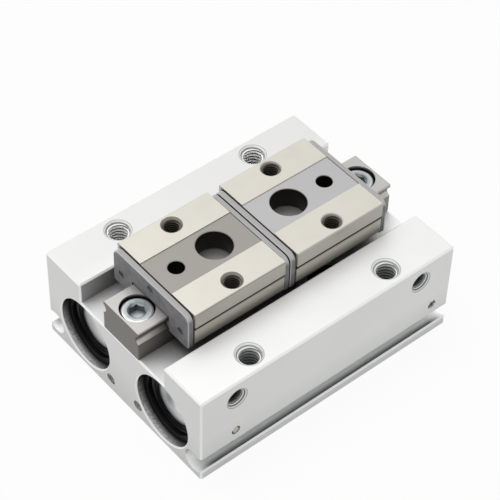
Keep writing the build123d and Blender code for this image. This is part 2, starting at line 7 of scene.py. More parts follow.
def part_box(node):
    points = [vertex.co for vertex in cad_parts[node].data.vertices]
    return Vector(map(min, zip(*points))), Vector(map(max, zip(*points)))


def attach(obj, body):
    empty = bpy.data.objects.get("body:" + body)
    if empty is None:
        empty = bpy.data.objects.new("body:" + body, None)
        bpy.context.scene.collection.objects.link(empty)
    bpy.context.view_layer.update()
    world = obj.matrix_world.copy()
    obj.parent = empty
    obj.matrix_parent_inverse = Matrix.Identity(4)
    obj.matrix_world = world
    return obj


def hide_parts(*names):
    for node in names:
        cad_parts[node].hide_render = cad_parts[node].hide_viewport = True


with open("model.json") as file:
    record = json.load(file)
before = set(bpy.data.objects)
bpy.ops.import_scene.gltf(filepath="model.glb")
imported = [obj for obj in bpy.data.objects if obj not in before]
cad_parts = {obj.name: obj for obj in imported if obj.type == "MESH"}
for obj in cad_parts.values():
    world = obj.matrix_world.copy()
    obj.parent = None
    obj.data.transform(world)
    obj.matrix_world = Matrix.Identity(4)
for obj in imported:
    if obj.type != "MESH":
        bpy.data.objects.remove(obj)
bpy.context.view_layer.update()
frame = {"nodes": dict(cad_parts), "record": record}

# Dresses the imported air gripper: cut threads in its tapped holes, cross-recessed plate screws,
# and a finish on every piece. All sizes are in metres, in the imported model's own frame.

MM = 0.001
nodes = frame["nodes"]
mounts = {mount["name"]: mount for mount in frame["record"]["mounts"]}
SIDES = {"left": -1, "right": 1}

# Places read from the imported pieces
BODY_LOW, BODY_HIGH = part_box("housing")
RAIL_LOW, RAIL_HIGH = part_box("guide_rail")
BLOCK_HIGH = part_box("left_finger_block")[1]
CAP_LOW, CAP_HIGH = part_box("end_cap_left_far")
SCREWS_LOW, SCREWS_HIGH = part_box("rail_screws")
BORE_Y = (CAP_LOW.y + CAP_HIGH.y) / 2
BORE_Z = (CAP_LOW.z + CAP_HIGH.z) / 2
RAIL_SCREW_X = (SCREWS_HIGH.x - SCREWS_LOW.x) / 2 - 2.75 * MM

# Body: where its broken edges, channel, bores and grooves end
EDGE = 0.32 * MM
CHANNEL_FLOOR = RAIL_LOW.z - 0.01 * MM
CHANNEL_SIDE = BLOCK_HIGH.y + 0.95 * MM
BORE_REACH = 7.0 * MM
GROOVE_TOP = 6.0 * MM
# A pair for a change of tone holds the place where it starts, and the place where it is full
FAR_WALL = (8 * MM, 14 * MM)
NEAR_SIDE = (-19 * MM, -19.1 * MM)
WALL_TOP = (18 * MM, 18.1 * MM)
FOOT_SHADE = (10 * MM, 0.0)
CHANNEL_LIGHT = (18 * MM, 24 * MM)
HOLE_SHADE = (0.6 * MM, 1.6 * MM)
GROOVE_LIP = (18.7 * MM, 19.6 * MM)
GROOVE_SHADE = (2.8 * MM, 4.6 * MM)
GROOVE_END = (3 * MM, 0.5 * MM)
BORE_LIGHT = (0.8 * MM, 6.6 * MM)
BORE_MOUTH = (1.7 * MM, 0.6 * MM)
# Direction, as shares of Y and Z, in which a bore's wall is lit
BORE_LIT = (0.45, -0.89)
# Countersinks: distance from the middle plane and place across their face, and the radius and
# colour of the thin lines of painted shade that they show as
WALL_HOLE = (14.43 * MM, 17.0 * MM)
WALL_HOLE_LINES = ((2.36 * MM, "C2C3C3"), (2.02 * MM, "A0A2A2"))
PORT_HOLE = (19.5 * MM, 15.4 * MM)
PORT_HOLE_LINES = ((2.0 * MM, "B4B5B5"), (1.7 * MM, "5A5C5C"))
LINE_EDGE = (0.14 * MM, 0.03 * MM)

# Finger blocks: heights of the side line and of the painted shadow under it, the two kinds of strip
# and the holes, and where holes are
SIDE_LINE = (22.08 * MM, 22.55 * MM)
SIDE_LINE_FADE = 0.4 * MM
GROUND_TOP = BLOCK_HIGH.z - 0.08 * MM
MILLED_TOP = BLOCK_HIGH.z - 0.22 * MM
HOLE_TOP = BLOCK_HIGH.z - 0.2 * MM
HOLE_LIGHT = (BLOCK_HIGH.z - 1.3 * MM, BLOCK_HIGH.z - 0.4 * MM)
HOLE_FIELD = BLOCK_HIGH.y - 0.5 * MM
THREAD_FIELD = 5 * MM
# Rail: where its top and its ends start
RAIL_TOP = RAIL_HIGH.z - 0.3 * MM
RAIL_END = RAIL_HIGH.x - 0.05 * MM
# Rail screws: painted shade on the head's top, out from the socket and in from the rim
SOCKET_SHADE_INNER = (1.2 * MM, 1.5 * MM)
SOCKET_SHADE_OUTER = (2.4 * MM, 1.7 * MM)
# End caps: radius that shows inside the retaining ring, and the painted reflection patch near the middle
CAP_SEEN = 4.29 * MM
CAP_RIM = (CAP_SEEN - 0.9 * MM, CAP_SEEN)
CAP_PATCH = (2.1 * MM, 0.4 * MM)
CAP_PATCH_Y = 1.4 * MM
LATHE_RINGS = 2.2 * MM
# Side plugs: half their distance and their height, the point midway between them, and the slanting
# direction, as shares of X and Z, along which their faces carry a painted reflection of the dark
SIDE_PLUG = (21.25 * MM, 7.5 * MM)
SIDE_PLUG_MIDDLE = 1.65 * MM
PLUG_SLANT = (0.91, 0.41)
PLUG_ACROSS = (-0.41, 0.91)
PLUG_TIPS = (0.4 * MM, 0.65 * MM)
# Painted dark cross on the right one: half width of each arm, and how far the short arm reaches
LONG_ARM = (0.5 * MM, 0.2 * MM)
SHORT_ARM = (0.3 * MM, 0.1 * MM)
SHORT_ARM_END = (0.85 * MM, 0.6 * MM)

# Threads: radius and coarse pitch; then the ridge's height, and its widths at root and crest
M4 = (2.0 * MM, 0.7 * MM)
M3 = (1.5 * MM, 0.5 * MM)
RIDGE_SHARE = 0.42
RIDGE_WIDTH = 0.8
CREST_SHARE = 0.55
THREAD_STEPS = 28
SHADE_DEPTH = 2.4 * MM
WALL_BITE = 0.02 * MM

# Plate screws
SCREW_HEAD = 0.7 * MM
SCREW_HEAD_HEIGHT = 0.4 * MM
SCREW_HEAD_ROUNDING = 0.12 * MM
SCREW_SHANK = 0.44 * MM
SCREW_LENGTH = 2.2 * MM
SCREW_SUNK = 0.12 * MM
SCREW_PLACES = ((-7.65 * MM, 20.7 * MM), (7.65 * MM, 20.7 * MM), (0.0, 23.7 * MM))
SCREW_TURN = 0.4
CROSS_WIDTH = 0.2 * MM
CROSS_REACH = 0.42 * MM
CROSS_DEPTH = 0.3 * MM
CROSS_TAPER = 0.45

# Studio: a white floor and surround, and soft light from above
FLOOR_GLOW = 0.93
WORLD_LEVEL = 0.39
LAMP_PLACE = Vector((-60, 180, 600)) * MM
LAMP_TARGET = Vector((0, 0, 10)) * MM
LAMP_SIZE = 500 * MM
LAMP_WATTS = 2.1
# Camera, fitted to the straight edges and holes of the photograph
CAMERA_PLACE = Vector((-138.768, -159.866, 246.044)) * MM
CAMERA_TARGET = Vector((4.1676, 5.0589, 12.0)) * MM
CAMERA_ROLL = math.radians(1.838)
PHOTO_PIXELS = 500
FOCAL_PIXELS = 1894.88
SENSOR_MM = 36.0


def pick(piece):
    """Make a piece the only selected object, and the active one."""
    bpy.ops.object.select_all(action="DESELECT")
    piece.select_set(True)
    bpy.context.view_layer.objects.active = piece


def new_piece(name):
    """Name the primitive that was just added, and make it the only one selected."""
    piece = bpy.context.active_object
    piece.name = name
    piece.data.name = name
    pick(piece)
    return piece


def pick_faces(piece, wanted):
    """Enter edit mode with the faces selected for which wanted(normal) holds."""
    mesh = piece.data
    for part in (*mesh.vertices, *mesh.edges):
        part.select = False
    for face in mesh.polygons:
        face.select = wanted(face.normal)
    bpy.context.tool_settings.mesh_select_mode = (False, False, True)
    bpy.ops.object.mode_set(mode="EDIT")


def leave_edit():
    """Go back to object mode."""
    bpy.ops.object.mode_set(mode="OBJECT")


def apply_place():
    """Bake the selected piece's place, turn and scale into its mesh."""
    bpy.ops.object.transform_apply(location=True, rotation=True, scale=True)


def apply_modifier(piece, kind, **settings):
    """Add one modifier with its settings and apply it."""
    modifier = piece.modifiers.new(kind, kind)
    for setting, value in settings.items():
        setattr(modifier, setting, value)
    pick(piece)
    bpy.ops.object.modifier_apply(modifier=modifier.name)


def cut_away(piece, cutter):
    """Take one closed piece out of another, and remove the cutter."""
    apply_modifier(piece, "BOOLEAN", operation="DIFFERENCE", solver="EXACT", object=cutter)
    bpy.data.objects.remove(cutter)


def smooth(piece, degrees):
    """Shade a piece smooth, apart from edges sharper than an angle."""
    pick(piece)
    bpy.ops.object.shade_smooth_by_angle(angle=math.radians(degrees))


def copy_to(model, name, place, axis, turn=0.0):
    """Copy a model that stands on Z with its mesh, and bake in its place and direction."""
    piece = model.copy()
    piece.data = model.data.copy()
    piece.name = name
    piece.data.name = name
    bpy.context.scene.collection.objects.link(piece)
    upright = Vector((0, 0, 1)).rotation_difference(Vector(axis)).to_matrix().to_4x4()
    piece.matrix_world = Matrix.Translation(place) @ upright @ Matrix.Rotation(turn, 4, "Z")
    pick(piece)
    apply_place()
    return piece


def linear(colour):
    """Linear RGBA of an sRGB hex colour."""
    channels = [int(colour[start:start + 2], 16) / 255 for start in (0, 2, 4)]
    return [c / 12.92 if c <= 0.04045 else ((c + 0.055) / 1.055) ** 2.4 for c in channels] + [1.0]


def add_node(tree, kind, inputs=(), out=0, **settings):
    """Add a node with its settings and links; returns one output, or all of them if out is None.

    Inputs come in the node's own order, or by name or number. Each is a value, or an output to link.
    """
    node = tree.nodes.new("ShaderNode" + kind)
    for name, value in settings.items():
        setattr(node, name, value)
    named = inputs if isinstance(inputs, dict) else dict(enumerate(inputs))
    for name, value in named.items():
        if isinstance(value, bpy.types.NodeSocket):
            tree.links.new(value, node.inputs[name])
        else:
            node.inputs[name].default_value = value
    return node.outputs if out is None else node.outputs[out]


def new_material(name, **shader_values):
    """A material with one shader and object coordinates, as (material, tree, shader, place)."""
    material = bpy.data.materials.new(name)
    material.use_nodes = True
    tree = material.node_tree
    shader = tree.nodes["Principled BSDF"]
    for socket, value in shader_values.items():
        shader.inputs[socket].default_value = value
    return material, tree, shader, add_node(tree, "TexCoord", out="Object")


def colour_shader(tree, shader, colour, relief=None, strength=0.0, depth=0.0):
    """Link the shader's colour, and its relief where it has one."""
    tree.links.new(colour, shader.inputs["Base Color"])
    if relief:
        bump = add_node(tree, "Bump", {"Height": relief, "Strength": strength, "Distance": depth})
        tree.links.new(bump, shader.inputs["Normal"])


def lay_over(tree, base, *layers):
    """A base colour with more laid over it in turn, each as (share, colour); hex colours or outputs."""
    colour = base
    for share, upper in layers:
        under, over = (linear(one) if isinstance(one, str) else one for one in (colour, upper))
        colour = add_node(tree, "Mix", {0: share, 6: under, 7: over}, out=2, data_type="RGBA")
    return colour


def every(tree, *shares):
    """The product of several shares: 1 where all of them are 1."""
    product = shares[0]
    for share in shares[1:]:
        product = add_node(tree, "Math", (product, share), operation="MULTIPLY")
    return product


def within(tree, *limits):
    """1 where each value lies between its low and its high limit, given as (value, low, high)."""
    tests = [
        add_node(tree, "Math", (value, limit), operation=test)
        for value, low, high in limits
        for limit, test in ((low, "GREATER_THAN"), (high, "LESS_THAN"))
        if limit is not None
    ]
    return every(tree, *tests)


def apart(tree, first, second):
    """How far two numbers lie apart."""
    gap = add_node(tree, "Math", (first, second), operation="SUBTRACT")
    return add_node(tree, "Math", (gap,), operation="ABSOLUTE")


def span(tree, first, second):
    """Length of the distance with the given two parts."""
    squares = [add_node(tree, "Math", (part, 2.0), operation="POWER") for part in (first, second)]
    return add_node(tree, "Math", (add_node(tree, "Math", squares, operation="ADD"),), operation="SQRT")


def reach_along(tree, direction, *parts):
    """How far a place lies along a direction, both given by the same two parts."""
    shares = [
        add_node(tree, "Math", (part, share), operation="MULTIPLY") for part, share in zip(parts, direction)
    ]
    return add_node(tree, "Math", shares, operation="ADD")


def axis_sizes(tree, vector):
    """The sizes of a vector's three parts, without their signs."""
    unsigned = add_node(tree, "VectorMath", (vector,), operation="ABSOLUTE")
    return add_node(tree, "SeparateXYZ", (unsigned,), out=None)


def squareness(tree, sizes):
    """The largest of a normal's three parts: 1 on a square face, less on a broken or rounded edge."""
    larger = add_node(tree, "Math", (sizes[0], sizes[1]), operation="MAXIMUM")
    return add_node(tree, "Math", (larger, sizes[2]), operation="MAXIMUM")


def openness(tree, reach, closed, open_air, local=False):
    """0 in a hollow, 1 on an open face, to paint shade into hollows; reach is how far away a face still
    counts.
    """
    hollow = add_node(tree, "AmbientOcclusion", {"Distance": reach}, out="AO", samples=8, only_local=local)
    return add_node(tree, "MapRange", (hollow, closed, open_air))


def blasted_aluminium(name):
    """Clear-anodised aluminium, blasted with fine grit: pale silver with a soft, grainy sheen."""
    material, tree, shader, place = new_material(name)
    x, y, z = add_node(tree, "SeparateXYZ", (place,), out=None)
    length, side, _ = axis_sizes(tree, place)
    normal = axis_sizes(tree, add_node(tree, "NewGeometry", out="Normal"))

    # Grit leaves dimples of about 0.1 mm; they are drawn at 0.3 mm so that they show
    grain = add_node(tree, "TexNoise", {"Vector": place, "Scale": 1 / (0.3 * MM), "Detail": 3.0})
    cloud = add_node(tree, "TexNoise", {"Vector": place, "Scale": 1 / (9 * MM)})
    speckle = add_node(tree, "Math", (grain, cloud), operation="MULTIPLY")
    # Painted shade: the far wall, the end faces and the foot are a little darker; broken edges get a
    # painted highlight
    skin = lay_over(
        tree, "F2F2F1",
        (add_node(tree, "MapRange", (speckle, 0, 1, 0, 0.2)), "8E8F8E"),
        (add_node(tree, "MapRange", (y, *FAR_WALL, 0, 0.5)), "D6D6D4"),
        (add_node(tree, "MapRange", (normal["X"], 0.9, 0.95)), "E5E5E4"),
        (add_node(tree, "MapRange", (z, *FOOT_SHADE, 0, 0.3)), "9A9A99"),
        (add_node(tree, "MapRange", (squareness(tree, normal), 0.95, 0.85)), "FFFFFF"),
    )
    # The rim and the foot of each countersink show as thin grey lines of painted shade
    on_wall_top = add_node(tree, "MapRange", (z, *WALL_TOP))
    on_near_side = add_node(tree, "MapRange", (y, *NEAR_SIDE))
    for hole, across_face, on_face, lines in (
        (WALL_HOLE, side, on_wall_top, WALL_HOLE_LINES),
        (PORT_HOLE, z, on_near_side, PORT_HOLE_LINES),
    ):
        from_hole = span(tree, apart(tree, length, hole[0]), apart(tree, across_face, hole[1]))
        for radius, colour in lines:
            in_line = add_node(tree, "MapRange", (apart(tree, from_hole, radius), *LINE_EDGE))
            skin = lay_over(tree, skin, (every(tree, in_line, on_face), colour))

    # Bores: painted light, faintly patchy, low down, and painted shade under their roof and further in
    inward = add_node(tree, "Math", (BODY_HIGH.x, length), operation="SUBTRACT")
    hand = add_node(tree, "Math", (y,), operation="SIGN")
    middle = add_node(tree, "Math", (hand, BORE_Y), operation="MULTIPLY")
    off_y = add_node(tree, "Math", (y, middle), operation="SUBTRACT")
    off_z = add_node(tree, "Math", (z, BORE_Z), operation="SUBTRACT")
    from_axis = span(tree, off_y, off_z)
    patch = add_node(tree, "TexNoise", {"Vector": place, "Scale": 1 / (0.3 * MM), "Detail": 4.0})
    lit = every(
        tree,
        add_node(tree, "MapRange", (reach_along(tree, BORE_LIT, off_y, off_z), *BORE_LIGHT)),
        add_node(tree, "MapRange", (inward, *BORE_MOUTH)),
        add_node(tree, "MapRange", (patch, 0.3, 0.7, 0.45, 1.0)),
    )
    bore = lay_over(tree, "242424", (lit, "F4F4F4"))
    in_bore = within(tree, (inward, EDGE, None), (from_axis, None, BORE_REACH))

    # Grooves: mid grey, with painted shade darkest just behind the lip, and painted light at their open
    # ends
    behind_lip = add_node(tree, "MapRange", (side, *GROOVE_LIP))
    at_end = lay_over(tree, "F6F6F6", (add_node(tree, "MapRange", (z, *GROOVE_SHADE)), "9A9B9B"))
    near_end = add_node(tree, "MapRange", (inward, *GROOVE_END))
    groove = lay_over(tree, "E6E7E7", (behind_lip, "8A8B8B"), (near_end, at_end))
    in_groove = within(
        tree, (inward, 0, None), (z, 0, GROOVE_TOP), (side, None, BODY_HIGH.y - EDGE),
        (from_axis, BORE_REACH, None),
    )

    # Drilled holes: painted shade, light at the mouth and black further in, but grey behind the far threads
    from_top = add_node(tree, "Math", (BODY_HIGH.z, z), operation="SUBTRACT")
    from_side = add_node(tree, "Math", (BODY_HIGH.y, side), operation="SUBTRACT")
    from_mouth = add_node(tree, "Math", (from_top, from_side), operation="MINIMUM")
    further_in = lay_over(tree, "101213", (add_node(tree, "MapRange", (y, *FAR_WALL)), "8A8B8B"))
    deep = add_node(tree, "MapRange", (from_mouth, *HOLE_SHADE))
    drilled = lay_over(tree, "FFFFFF", (deep, further_in))

    # The channel is shaded by its walls, the rail and the fingers, and lightest at its right end
    open_floor = lay_over(
        tree, "E2E2E2",
        (add_node(tree, "MapRange", (normal["Y"], 0.5, 0.9)), "B4B4B4"),
        (add_node(tree, "MapRange", (x, *CHANNEL_LIGHT)), "FFFFFF"),
    )
    channel = lay_over(tree, "5A5A5B", (openness(tree, 7 * MM, 0.15, 0.6), open_floor))
    in_channel = within(tree, (z, CHANNEL_FLOOR, None), (side, None, CHANNEL_SIDE))

    # Hollows of the body's own shape take the drilled holes' painted shade
    on_skin = openness(tree, 9 * MM, 0.3, 0.7, local=True)
    face = lay_over(
        tree, drilled, (on_skin, skin), (in_bore, bore), (in_groove, groove), (in_channel, channel),
    )
    colour_shader(tree, shader, face, grain, 0.35, 0.02 * MM)
    # Cut metal in the bores and grooves is barer than the blasted skin
    bare = add_node(tree, "Math", (in_bore, in_groove), operation="MAXIMUM")
    for socket, on_skin_value, on_bare_value in (("Metallic", 0.4, 1.0), ("Roughness", 0.5, 0.75)):
        value = add_node(tree, "MapRange", (bare, 0, 1, on_skin_value, on_bare_value))
        tree.links.new(value, shader.inputs[socket])
    return material


def thread_finish(name, crest_colours, root_colours, metallic, roughness):
    """Tapped thread: painted light on its crests and painted shade in its roots; each has a colour at the
    mouth and one deep down.
    """
    material, tree, shader, place = new_material(name, Metallic=metallic, Roughness=roughness)
    height = add_node(tree, "Attribute", out="Fac", attribute_name="crest")
    depth = add_node(tree, "Attribute", out="Fac", attribute_name="deep")
    deep = add_node(tree, "MapRange", (depth, 0, 1))
    # Torn cutting edges leave the turns a little uneven
    torn = add_node(tree, "TexNoise", {"Vector": place, "Scale": 1 / (0.4 * MM)})
    torn = add_node(tree, "MapRange", (torn, 0, 1, -0.05, 0.05))
    uneven = add_node(tree, "Math", (height, torn), operation="ADD")
    on_crest = add_node(tree, "MapRange", (uneven, 0.1, 0.65))
    bright, dark = (
        lay_over(tree, mouth, (deep, bottom)) for mouth, bottom in (crest_colours, root_colours)
    )
    colour_shader(tree, shader, lay_over(tree, dark, (on_crest, bright)))
    return material


def ground_steel(name, strip, ring_top):
    """Stainless bearing block: two ground strips on top, a duller milled strip between them."""
    material, tree, shader, place = new_material(name, Metallic=0.6, Roughness=0.38)
    _, side, z = axis_sizes(tree, place)
    tilt = axis_sizes(tree, add_node(tree, "NewGeometry", out="Normal"))["Z"]
    # Grinding lines run across the travel; real ones are 0.03 mm apart, drawn at 0.15 mm
    stretched = add_node(tree, "Mapping", {"Vector": place, "Scale": (1.0, 0.03, 1.0)})
    lines = add_node(tree, "TexNoise", {"Vector": stretched, "Scale": 1 / (0.15 * MM), "Detail": 3.0})
    cloud = add_node(tree, "TexNoise", {"Vector": place, "Scale": 1 / (5 * MM)})
    warmth = add_node(tree, "TexNoise", {"Vector": place, "Scale": 1 / (2.5 * MM)})

    # The skirt under the side line, painted shade in the line and fading out below it, the flank over it,
    # and on top the two kinds of strip
    ground = lay_over(tree, "D6D3C8", (add_node(tree, "MapRange", (warmth, 0.45, 0.65, 0, 0.5)), "D9D1CB"))
    tops = lay_over(tree, strip, (within(tree, (z, GROUND_TOP, None)), ground))
    face = lay_over(
        tree, "CECABF",
        (add_node(tree, "MapRange", (z, SIDE_LINE[0] - SIDE_LINE_FADE, SIDE_LINE[0])), "4C4840"),
        (within(tree, (z, SIDE_LINE[1], None)), "C2BEB4"),
        (within(tree, (z, MILLED_TOP, None)), tops),
        (add_node(tree, "MapRange", (cloud, 0, 1, 0, 0.2)), "A5A198"),
    )
    # Countersinks look olive grey, as they face away from the light
    inside = (side, None, HOLE_FIELD)
    ring = every(
        tree, within(tree, inside, (z, None, ring_top)),
        add_node(tree, "MapRange", (tilt, 0.95, 0.85)), add_node(tree, "MapRange", (tilt, 0.3, 0.6)),
    )
    # The walls of the holes carry painted shade, as dark as the room under the block, and painted light
    # by the threads
    hole = every(
        tree, within(tree, inside, (z, None, HOLE_TOP)), add_node(tree, "MapRange", (tilt, 0.3, 0.1)),
    )
    threaded = every(
        tree, within(tree, (side, THREAD_FIELD, None)), add_node(tree, "MapRange", (z, *HOLE_LIGHT)),
    )
    hole_wall = lay_over(tree, "1A1815", (threaded, "6E6B61"))
    face = lay_over(tree, face, (ring, "8A877C"), (hole, hole_wall))
    colour_shader(tree, shader, face, lines, 0.25, 0.01 * MM)
    return material


def rail_steel(name):
    """Hardened rail steel: ground bright along its length, its sawn ends a dull grey; its sides carry
    painted shade, and its lip a painted highlight.
    """
    material, tree, shader, place = new_material(name, Metallic=0.6, Roughness=0.38)
    length, _, z = axis_sizes(tree, place)
    upward = add_node(tree, "SeparateXYZ", (add_node(tree, "NewGeometry", out="Normal"),), out="Z")
    # Grinding lines along the rail; real ones are 0.03 mm apart, drawn at 0.12 mm
    stretched = add_node(tree, "Mapping", {"Vector": place, "Scale": (0.03, 1.0, 1.0)})
    lines = add_node(tree, "TexNoise", {"Vector": stretched, "Scale": 1 / (0.12 * MM), "Detail": 3.0})

    # Its sides, the bright top, the lip that catches light below the top, and the ends
    top = lay_over(tree, "C2C0BD", (add_node(tree, "MapRange", (lines, 0, 1, 0, 0.2)), "94918C"))
    on_top = within(tree, (z, RAIL_TOP, None))
    below_top = add_node(tree, "Math", (1.0, on_top), operation="SUBTRACT")
    lip = every(tree, add_node(tree, "MapRange", (upward, 0.15, 0.4)), below_top)
    at_end = within(tree, (length, RAIL_END, None))
    face = lay_over(tree, "86827B", (on_top, top), (lip, "D8D4CC"), (at_end, "6E6B65"))
    # The fingers shade the rail's sides, but its flat top still shines under their large holes
    flat = every(tree, add_node(tree, "MapRange", (upward, 0.8, 0.95, 0, 0.8)), on_top)
    lit = add_node(tree, "Math", (openness(tree, 4 * MM, 0.3, 0.85), flat), operation="MAXIMUM")
    colour_shader(tree, shader, lay_over(tree, "1C1A17", (lit, face)), lines, 0.2, 0.01 * MM)
    return material


def turned_aluminium(name, centre_y, patch_depth):
    """Turned end cap of bright aluminium: faint rings round the bore's axis, and painted shade darker
    towards the rim.
    """
    material, tree, shader, place = new_material(name, Metallic=0.85, Roughness=0.3)
    centred = add_node(tree, "Mapping", {"Vector": place, "Location": (0.0, -centre_y, -BORE_Z)})
    _, y, z = add_node(tree, "SeparateXYZ", (centred,), out=None)
    # A lathe leaves marks about 0.1 mm apart, drawn as soft rings 2.2 mm apart so that they show;
    # at a scale of 1, the rings of a wave texture are a twentieth of a full turn apart
    ring_scale = math.tau / 20 / LATHE_RINGS
    rings = add_node(
        tree, "TexWave", {"Vector": centred, "Scale": ring_scale, "Distortion": 0.4}, out="Fac",
        wave_type="RINGS", rings_direction="X",
    )
    # Painted reflection, as bright metal mirrors its surroundings: a bluish patch near the middle, on
    # near-white
    patch_y = add_node(tree, "Math", (y, CAP_PATCH_Y), operation="SUBTRACT")
    patch = add_node(tree, "MapRange", (span(tree, patch_y, z), *CAP_PATCH, 0, patch_depth))
    cloud = add_node(tree, "TexNoise", {"Vector": place, "Scale": 1 / (2.5 * MM), "Detail": 1.0})
    cloud = add_node(tree, "MapRange", (cloud, 0, 1, 0, 0.15))
    bluish = add_node(tree, "Math", (patch, cloud), operation="ADD")
    # The ring and the bore shade the cap's rim
    rim = add_node(tree, "MapRange", (span(tree, y, z), *CAP_RIM))
    face = lay_over(tree, "FFFFFF", (bluish, "6A7183"), (rim, "1A1B1D"))
    colour_shader(tree, shader, face, rings, 0.3, 0.02 * MM)
    return material


def socket_screw_steel(name):
    """Zinc-bright cap screw: painted light on its top, painted shade on its side and the socket's walls."""
    material, tree, shader, place = new_material(name, Metallic=0.7, Roughness=0.35)
    length, side, _ = axis_sizes(tree, place)
    upward = add_node(tree, "SeparateXYZ", (add_node(tree, "NewGeometry", out="Normal"),), out="Z")
    # The head's top has painted light along its rim, and patchy painted shade round the socket
    from_centre = span(tree, apart(tree, length, RAIL_SCREW_X), side)
    patch = add_node(tree, "TexNoise", {"Vector": place, "Scale": 1 / (0.6 * MM), "Detail": 3.0})
    socket_shade = every(
        tree,
        add_node(tree, "MapRange", (from_centre, *SOCKET_SHADE_INNER)),
        add_node(tree, "MapRange", (from_centre, *SOCKET_SHADE_OUTER)),
        add_node(tree, "MapRange", (patch, 0.3, 0.7, 0.4, 1.0)),
    )
    shine = lay_over(tree, "CFD2D2", (socket_shade, "7C8A8D"))
    on_top = add_node(tree, "MapRange", (upward, 0.35, 0.8))
    colour_shader(tree, shader, lay_over(tree, "525F61", (on_top, shine)))
    return material


def plain_steel(name, colour, shade, roughness, grain):
    """Small steel piece as it was formed or machined: even, with faint cloudy tone and fine marks."""
    material, tree, shader, place = new_material(name, Metallic=1.0, Roughness=roughness)
    marks = add_node(tree, "TexNoise", {"Vector": place, "Scale": 1 / grain, "Detail": 4.0})
    colour_shader(tree, shader, lay_over(tree, colour, (marks, shade)), marks, 0.15, 0.01 * MM)
    return material


def plug_steel(name, colour, shade):
    """Pressed-in steel plug: dull mottled face, with painted shade where its edge is broken and a painted
    reflection of the dark.
    """
    material, tree, shader, place = new_material(name, Metallic=0.6, Roughness=0.45)
    x, _, z = add_node(tree, "SeparateXYZ", (place,), out=None)
    normal = axis_sizes(tree, add_node(tree, "NewGeometry", out="Normal"))
    mottle = add_node(tree, "TexNoise", {"Vector": place, "Scale": 1 / (0.5 * MM), "Detail": 3.0})
    mottle = add_node(tree, "MapRange", (mottle, 0.4, 0.6))

    # Side plugs: distances from a plug's centre, along and across the line of painted dark reflection
    outward = add_node(tree, "Math", (apart(tree, x, SIDE_PLUG_MIDDLE), SIDE_PLUG[0]), operation="SUBTRACT")
    hand = add_node(tree, "Math", (x,), operation="SIGN")
    off_x = add_node(tree, "Math", (outward, hand), operation="MULTIPLY")
    off_z = add_node(tree, "Math", (z, SIDE_PLUG[1]), operation="SUBTRACT")
    along, over = (
        add_node(tree, "Math", (reach_along(tree, direction, off_x, off_z),), operation="ABSOLUTE")
        for direction in (PLUG_SLANT, PLUG_ACROSS)
    )
    tips = every(
        tree, add_node(tree, "MapRange", (along, *PLUG_TIPS)),
        add_node(tree, "MapRange", (normal["Y"], 0.5, 0.9)),
    )
    facing = add_node(tree, "Math", (normal["X"], normal["Y"]), operation="MAXIMUM")
    face = lay_over(tree, colour, (mottle, shade), (tips, "1E1E1C"))
    rimmed = lay_over(tree, "1E1E1C", (add_node(tree, "MapRange", (facing, 0.85, 0.95)), face))

    # The right one has no dark rim, and a slanting cross of painted dark reflection lies on it
    long_arm = add_node(tree, "MapRange", (over, *LONG_ARM))
    short_arm = every(
        tree, add_node(tree, "MapRange", (along, *SHORT_ARM)),
        add_node(tree, "MapRange", (over, *SHORT_ARM_END)),
    )
    cross = add_node(tree, "Math", (long_arm, short_arm), operation="MAXIMUM")
    painted_cross = lay_over(tree, "D6D6D4", (cross, "262624"))
    colour_shader(tree, shader, lay_over(tree, rimmed, (within(tree, (x, 0, None)), painted_cross)))
    return material


def moulded_plastic(name):
    """Glass-filled nylon, moulded: mid grey, matt, with faint swirls of fibre at the skin."""
    material, tree, shader, place = new_material(name, Roughness=0.55, IOR=1.53)
    normal = axis_sizes(tree, add_node(tree, "NewGeometry", out="Normal"))
    swirl = add_node(tree, "TexNoise", {"Vector": place, "Scale": 1 / (1.2 * MM), "Detail": 5.0})
    dimples = add_node(tree, "TexNoise", {"Vector": place, "Scale": 1 / (0.25 * MM)})
    # Top edges, and rounded edges still more, catch more light than the flat face
    skin = lay_over(
        tree, "77777A",
        (add_node(tree, "MapRange", (swirl, 0.3, 0.7)), "8E8E90"),
        (add_node(tree, "MapRange", (normal["Z"], 0.5, 0.95)), "B6B5B4"),
        (add_node(tree, "MapRange", (squareness(tree, normal), 0.99, 0.85)), "CECECE"),
    )
    # Painted shade: near black in hollows
    face = lay_over(tree, "121213", (openness(tree, 1.5 * MM, 0.15, 0.7), skin))
    colour_shader(tree, shader, face, dimples, 0.25, 0.02 * MM)
    return material


def black_rubber(name):
    """Nitrile rubber, moulded: near black, dull, with a faint bloom."""
    material, tree, shader, place = new_material(name, Roughness=0.6, IOR=1.52)
    bloom = add_node(tree, "TexNoise", {"Vector": place, "Scale": 1 / (0.8 * MM), "Detail": 3.0})
    colour_shader(tree, shader, lay_over(tree, "101010", (bloom, "242424")))
    return material


def dress(material, *names):
    """Give CAD nodes a material."""
    for name in names:
        for slot in nodes[name].material_slots:
            slot.material = material


